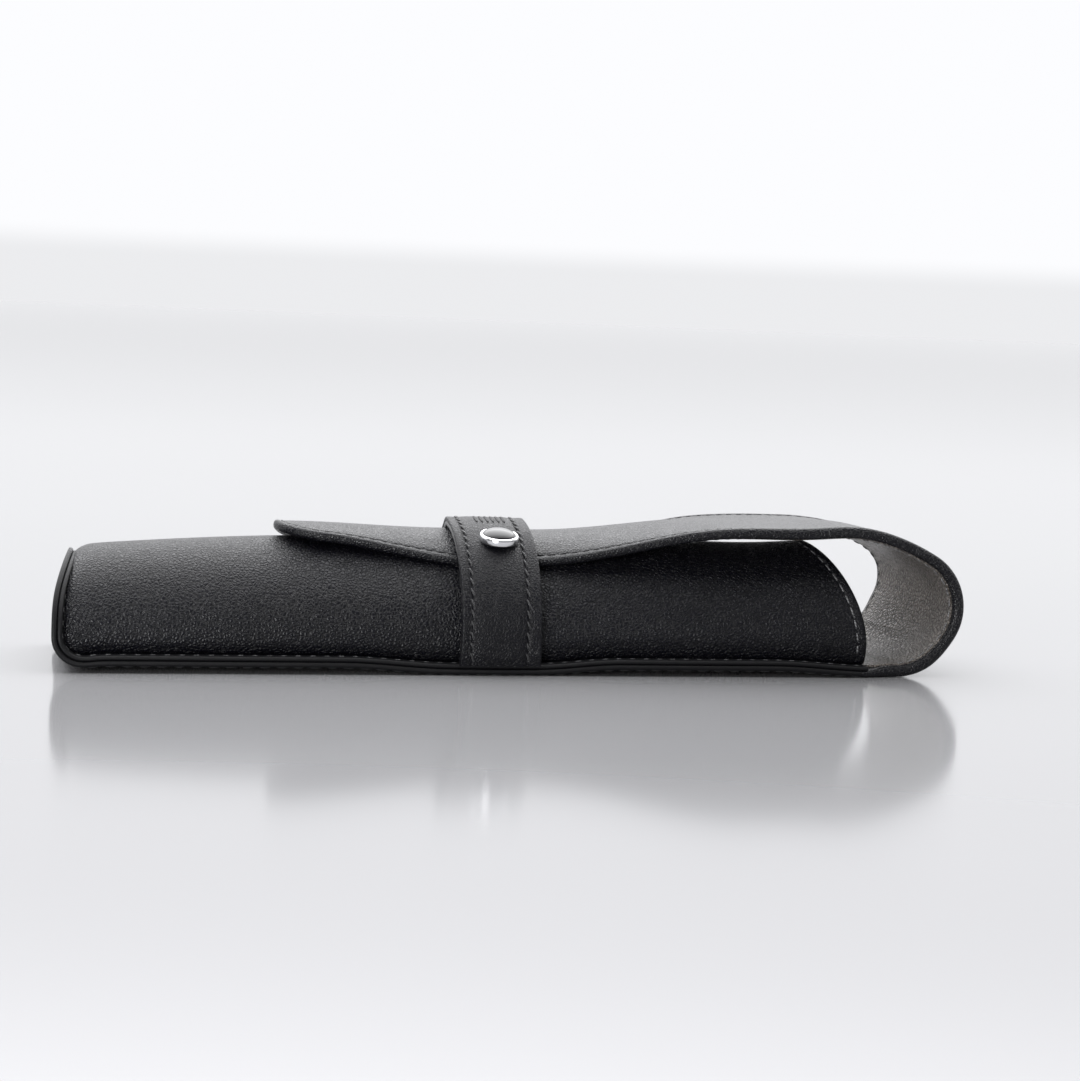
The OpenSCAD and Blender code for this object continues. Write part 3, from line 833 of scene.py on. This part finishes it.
# ---------------------------------------------------------------- fold and flap
low_rows = arc_rows(LOW, SEAM_LOW, 0)
high_rows = arc_rows(HIGH, 0, TOP_A) + arc_rows(TOP, TOP_A, SEAM_HIGH)[1:]
FOLDS = (("fold_lower", low_rows, "loop_low"), ("fold_upper", high_rows, "loop_mid"))
fold_half = half_profile(WIDE, STRIP_T)
for name, rows, cad in FOLDS:
    bend(strip(name, rows, fold_half, HIDE_FLAP), name, "leather", cad + "_leather")

SEAM_C, SEAM_S = math.cos(math.radians(SEAM_HIGH)), math.sin(math.radians(SEAM_HIGH))
SEAM_X = TOP[0] + TOP[2] * SEAM_C


def flap_spot(x, side):
    def place(r, d):
        y = side * r
        n = flap_normal(x, y) if x < SEAM_X - 0.01 else np.array([SEAM_C, 0, SEAM_S])
        return tuple(np.array([x, y, flap_z(x, y)]) - n * d)
    return place


def tip_spot(a):
    def place(r, d):
        x = TIP_END - TIP_LEN * r / TIP_HALF * math.sin(a)
        y = r * math.cos(a)
        return tuple(np.array([x, y, flap_z(x, y)]) - flap_normal(x, y) * d)
    return place


def flap_route():
    """(x, spot) from the seam over the case to the round tip, and back on the other side."""
    xs = list(np.linspace(SEAM_X, TIP_END, 76))
    one = [(x, flap_spot(x, 1)) for x in xs]
    mid = [(TIP_END, tip_spot(a)) for a in np.linspace(0, math.pi, 41)[1:-1]]
    two = [(x, flap_spot(x, -1)) for x in xs[::-1]]
    return one + mid + two


flap = u_sweep("flap_hide", flap_route(), lambda x: half_profile(flap_half(x), hide_t(x)), HIDE_FLAP)
bend(flap, "flap", "leather", "loop_top_leather", "flap_leather", "flap_board")


# ---------------------------------------------------------------- lining of the strip
def strip_lining(x):
    t = hide_t(x)
    return lining_half(flap_half(x) - LINING_IN, t - 0.12, t + 0.22)


def back_lining(x):
    t = back_thickness(x)
    half = mix(15.0, WIDE - LINING_IN, rise(x, 152.9, 3.2))
    return lining_half(half, t - 0.1, t + mix(0.8, 0.22, rise(x, 150, 8)))


bend(u_sweep("back_lining_calf", u_route(LOW_END, 2.4), back_lining, LINING), "back", "lining",
     "back_lining")
fold_lining = strip_lining(140.0)                # the flap's section close to the fold
for name, rows, cad in FOLDS:
    bend(strip(name + "_lining", rows, fold_lining, LINING), name, "lining", cad + "_lining")
bend(u_sweep("flap_lining_calf", flap_route(), strip_lining, LINING), "flap", "lining",
     "loop_top_lining", "flap_lining")


# ---------------------------------------------------------------- stitching
# A path is a list of (point, outward normal). out is -1 where the stitches are seen on the inner face.
def fold_row(rows, edge, depth, out=1):
    return [((x - nx * depth, edge - WIDE, z - nz * depth), (nx * out, 0, nz * out))
            for x, z, nx, nz in rows]


def edge_row(route, half, edge, depth, out=1):
    """A row that follows a route round the outline, at a distance from its edge."""
    path = []
    for x, place in route:
        p = np.array(place(half(x) - edge, depth))
        higher = np.array(place(half(x) - edge, depth - 0.5))
        path.append((tuple(p), tuple((higher - p) / 0.5 * out)))
    return path


def mirrored(path):
    return [((p[0], -p[1], p[2]), (n[0], -n[1], n[2])) for p, n in path]


def both(name, path, mat, **kw):
    """The same row on both sides of the case, as one piece."""
    near = stitches(name, path, mat, **kw)
    far = stitches(name + "_far", mirrored(path), mat, **kw)
    bm = bmesh.new()
    bm.from_mesh(near.data)
    bm.from_mesh(far.data)
    bm.to_mesh(near.data)
    bm.free()
    near.data.shade_smooth()
    bpy.data.objects.remove(far)
    return near


for name, rows, cad in FOLDS:
    bend(both(name + "_stitching", fold_row(rows, ROW, 0.12), THREAD), name, "thread", cad + "_stitching")
    bend(both(name + "_stitching_in", fold_row(rows, ROW_IN, 2.2, -1), THREAD_GREY, r=0.15, up=0.05),
         name, "thread")

bend(stitches("flap_stitching_out", edge_row(flap_route(), flap_half, ROW, 0.12), THREAD), "flap", "thread",
     "loop_top_stitching", "flap_stitching")
bend(stitches("flap_stitching_in", edge_row(flap_route(), flap_half, ROW_IN, 1.98, -1), THREAD_GREY,
              r=0.13, up=0.03), "flap", "thread")


def rim_half(x):
    return RIM


under = mirrored(edge_row(u_route(RIM_END), rim_half, 0.75, 0.08))
straight = (len(under) - ARCH_SPOTS) // 2 - 4     # the row underneath keeps to the straight sides
put(both("rim_stitching_under", under[:straight], THREAD, pitch=3.0, r=0.2, up=0.12), "case", "thread",
    "rim_stitching")
put(stitches("rim_stitching_top", edge_row(u_route(RIM_END), rim_half, 1.5, F1 - 0.08, -1), THREAD_GREY,
             pitch=2.6, r=0.15, up=0.03), "case", "thread")


def mouth_path():
    """The row just inside the slanted mouth, from one rim over the crown to the other."""
    path = []
    for a in np.linspace(math.radians(-10), math.radians(190), 121):
        past = max(-a, a - math.pi, 0)           # how far the angle is beyond the half circle
        x = 150.0
        for _ in range(6):                       # the height depends on x and x on the height
            z = axis_z(x) + (-3 * math.sin(past) if past else SHELL_R * math.sin(a))
            x = mouth_x(z) - MOUTH_ROW
        if past:
            z = max(axis_z(x) - past * SHELL_R, Z_LOW + 0.5)
            x = mouth_x(z) - MOUTH_ROW
            y = math.copysign(SHELL_R - bottom_tuck(z, x), math.cos(a))
            n = np.array([0, math.copysign(1, y), 0])
        else:
            y = SHELL_R * math.cos(a)
            y -= math.copysign(bottom_tuck(z, x), y)
            n = np.array([0, math.cos(a), math.sin(a)])
        path.append((tuple(np.array([x, y, z]) - n * MOUTH_SINK), tuple(n)))
    return path


put(stitches("mouth_stitching_row", mouth_path(), THREAD_GREY, pitch=2.45, r=0.16, up=0.08),
    "case", "thread", "mouth_stitching")


# ---------------------------------------------------------------- keeper strap
def keeper_path(r):
    """(y, z, outward y, outward z) from the near rim over the top to the far rim."""
    def side(z, sign):
        low = clamp((4.2 - z) / 2.6)             # the strap draws in towards the rim
        return (sign * (r - 0.55 * low ** 2), z, sign * 1.0, -0.25 * low)

    near = [side(z, -1) for z in np.linspace(KEEP_LOW, KEEP_Z, 12)[:-1]]
    over = [(r * math.cos(a), KEEP_Z + r * math.sin(a), math.cos(a), math.sin(a))
            for a in np.linspace(math.pi, 0, 73)]
    far = [side(z, 1) for z in np.linspace(KEEP_Z, KEEP_LOW, 12)[1:]]
    return near + over + far


def keeper_profile(half, t, dressed):
    """Section of the strap as (distance from its middle, height over its outer face)."""
    row_l, row_r = ROW_L - half, half - ROW_R
    groove = (-0.5, -0.3, -0.15, 0, 0.15, 0.3, 0.5)
    across = [e - half for e in (0.35, 0.6, 0.9, 1.3, 1.8)] + [row_l + d for d in groove]
    across += list(np.linspace(4 - half, half - 4, 8)) + [row_r + d for d in groove]
    across += [half - e for e in (0.9, 0.6, 0.35)]

    def lift(u):
        if not dressed:
            return 0.0
        a, b = u - row_l, u - row_r
        pressed = 0.17 * (gauss(a, 0.24) + gauss(b, 0.24)) + 0.06 * (gauss(a, 0.9) + gauss(b, 0.9))
        return 0.10 * ease(a / 1.5) * ease(-b / 1.5) - pressed

    bulge = [(0.3 * math.cos(a), -t / 2 + t / 2 * math.sin(a)) for a in np.radians((60, 25, 0, -25, -60))]
    right = [(half - 0.3 + dx, d) for dx, d in bulge]
    left = [(0.3 - half - dx, d) for dx, d in bulge[::-1]]
    under = [(half - 0.35, -t), (0, -t), (0.35 - half, -t)]
    return [(u, lift(u)) for u in across] + right + under + left


def keeper_piece(name, r, half, mat, dressed):
    section = keeper_profile(half, 0.8, dressed)
    rings = []
    for y, z, ny, nz in keeper_path(r):
        q = math.hypot(ny, nz)
        wide = max(0.0, 0.12 * (9 - z) / 7)      # it spreads a little towards the rim
        rings.append([(KEEP_X + u * (1 + wide / half), y + ny / q * d, z + nz / q * d) for u, d in section])
    return make(name, *skin(rings), mat)


put(keeper_piece("keeper_strap", KEEP_R, KEEP_HALF, HIDE_KEEPER, True), "case", "leather", "keeper_leather")
put(keeper_piece("keeper_under", KEEP_R - 0.83, KEEP_HALF - 0.06, HIDE_EDGE, False), "case", "leather",
    "keeper_backing")

for tag, u, nodes in (("left", ROW_L - KEEP_HALF, ("keeper_stitching",)), ("right", KEEP_HALF - ROW_R, ())):
    row = [((KEEP_X + u, y - ny * KEEP_SINK, z - nz * KEEP_SINK), (0, ny, nz))
           for y, z, ny, nz in keeper_path(KEEP_R)]
    piece = stitches("keeper_stitching_" + tag, row, THREAD, pitch=2.0, fill=0.9, r=0.18, lean=-0.38,
                     margin=0.7)
    put(piece, "case", "thread", *nodes)

# ---------------------------------------------------------------- stud
STUD_AT, STUD_TILT = math.radians(33.0), math.radians(13.5)     # place on the strap's arch, and its own tilt
STUD_X = KEEP_X + 0.7
STUD_R = 3.7
DOME_R, DOME_LOW, DOME_HIGH = STUD_R - 0.6, 0.9, 1.2
# the ring as (distance in from its outer radius, height)
RING = ((0.4, -0.35), (0.1, -0.3), (0.02, -0.1), (0, 0.15), (0, 0.5), (0.03, 0.72), (0.08, 0.9),
        (0.16, 1.04), (0.27, 1.12), (0.38, 1.14), (0.49, 1.1), (0.56, 1.02), (0.6, 0.9), (0.62, 0.7))


def stud_place():
    c, s = math.cos(STUD_TILT), math.sin(STUD_TILT)
    y, z = -math.sin(STUD_AT) * KEEP_R, KEEP_Z + math.cos(STUD_AT) * KEEP_R
    return Matrix(((1, 0, 0, STUD_X), (0, c, -s, y), (0, s, c, z), (0, 0, 0, 1)))


bezel = [(0, -0.35)] + [(STUD_R - e, h) for e, h in RING] + [(0, 0.7)]
dome = [(DOME_R * math.cos(a), DOME_LOW + DOME_HIGH * math.sin(a))
        for a in np.radians(np.linspace(4, 88, 20))]
dome = [(0, 0.72), (DOME_R, 0.74), (DOME_R, DOME_LOW)] + dome + [(0, DOME_LOW + DOME_HIGH)]
put(lathe("stud_bezel_ring", bezel, METAL, stud_place()), "case", "stud_metal", "stud_bezel", "stud_post")
put(lathe("stud_dome_black", dome, LACQUER, stud_place()), "case", "stud_lacquer", "stud_dome")

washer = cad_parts["stud_washer"]
washer.data.materials.clear()
washer.data.materials.append(METAL)

# ---------------------------------------------------------------- plain pressed ribs on top of the keeper
BARS, BAR_FIRST, BAR_PITCH = 6, -2.9, 1.05
BAR_HALF, BAR_HIGH, BAR_FOOT = 0.27, 0.16, 0.02
BAR_ANGLES = np.radians(np.linspace(-0.5, 14.5, 12))


def plain_bars():
    co, faces = [], []
    last = len(BAR_ANGLES) - 1
    for k in range(BARS):
        x = STUD_X + BAR_FIRST + k * BAR_PITCH
        base = len(co)
        for i, a in enumerate(BAR_ANGLES):
            half = BAR_HALF * math.sqrt(max(1 - (2 * i / last - 1) ** 6, 0.02))
            top = half * 0.8
            for dx, h in ((-half, BAR_FOOT), (-top, BAR_HIGH), (top, BAR_HIGH), (half, BAR_FOOT)):
                r = KEEP_R + h + 0.05
                co.append((x + dx, -math.sin(a) * r, KEEP_Z + math.cos(a) * r))
        faces += quads(last + 1, 4, True, base) + caps(last + 1, 4, base)
    # the ribs take the darker sewn-rim leather: painted shade, standing in for pressed marks that look dark
    return make("keeper_plain_bars", co, faces, HIDE_SEWN_SHADED)


put(plain_bars(), "case", "leather")
